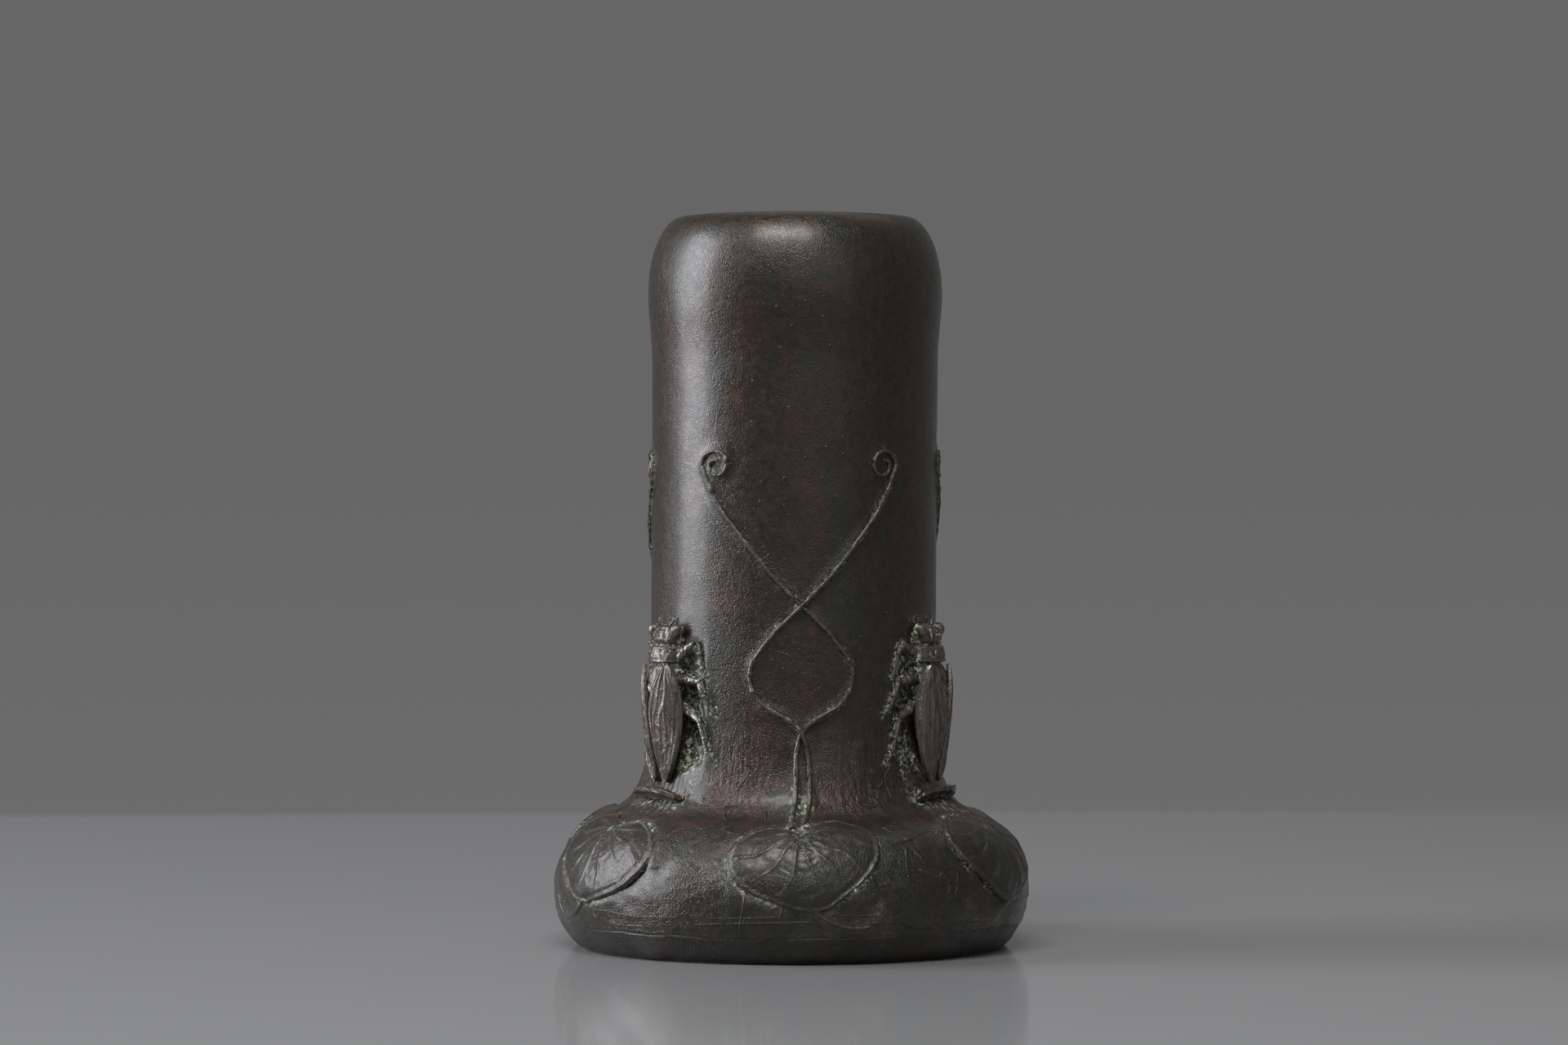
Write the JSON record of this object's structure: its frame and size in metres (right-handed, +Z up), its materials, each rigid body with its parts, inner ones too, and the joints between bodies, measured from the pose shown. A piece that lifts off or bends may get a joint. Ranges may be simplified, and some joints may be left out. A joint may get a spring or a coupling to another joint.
{
  "type": "bronze vase",
  "caption": "Cast bronze flower vase: tall round neck with a turned-in lip on a squat bun-shaped bulb, with relief cicadas, tendrils and pad leaves.",
  "frame": {"origin": "centre of the plane that the foot ring stands on", "axes": "+Z up along the vase's axis; -Y is the front, towards the viewer of the picture, and +X is to the viewer's right"},
  "size_m": [0.1562, 0.1604, 0.24],
  "materials": {
    "body_bronze": "dark brown-black patina over cast bronze, waxed to a soft sheen",
    "base_bronze": "dark patina, duller than the body",
    "figure_bronze": "dark patina rubbed thin on the high places, with pale verdigris in the recesses",
    "wing_bronze": "dark patina rubbed to a sheen",
    "tendril_bronze": "patina worn through to warm bronze along the ridge",
    "leaf_bronze": "greenish-black patina with worn edges"
  },
  "bodies": {
    "root": {"vase_body": "body_bronze", "base_pan": "base_bronze", "cicada_left": "figure_bronze", "cicada_left_wing_a": "wing_bronze", "cicada_left_wing_b": "wing_bronze", "cicada_right": "figure_bronze", "cicada_right_wing_a": "wing_bronze", "cicada_right_wing_b": "wing_bronze", "cicada_back": "figure_bronze", "cicada_back_wing_a": "wing_bronze", "cicada_back_wing_b": "wing_bronze", "perch_left": "leaf_bronze", "perch_right": "leaf_bronze", "perch_back": "leaf_bronze", "tendril_front_a": "tendril_bronze", "tendril_front_b": "tendril_bronze", "tendril_right_a": "tendril_bronze", "tendril_right_b": "tendril_bronze", "tendril_left_a": "tendril_bronze", "tendril_left_b": "tendril_bronze", "pad_leaf_1": "leaf_bronze", "pad_leaf_2": "leaf_bronze", "pad_leaf_3": "leaf_bronze", "pad_leaf_4": "leaf_bronze", "pad_leaf_5": "leaf_bronze", "pad_leaf_6": "leaf_bronze"}
  },
  "joints": []
}
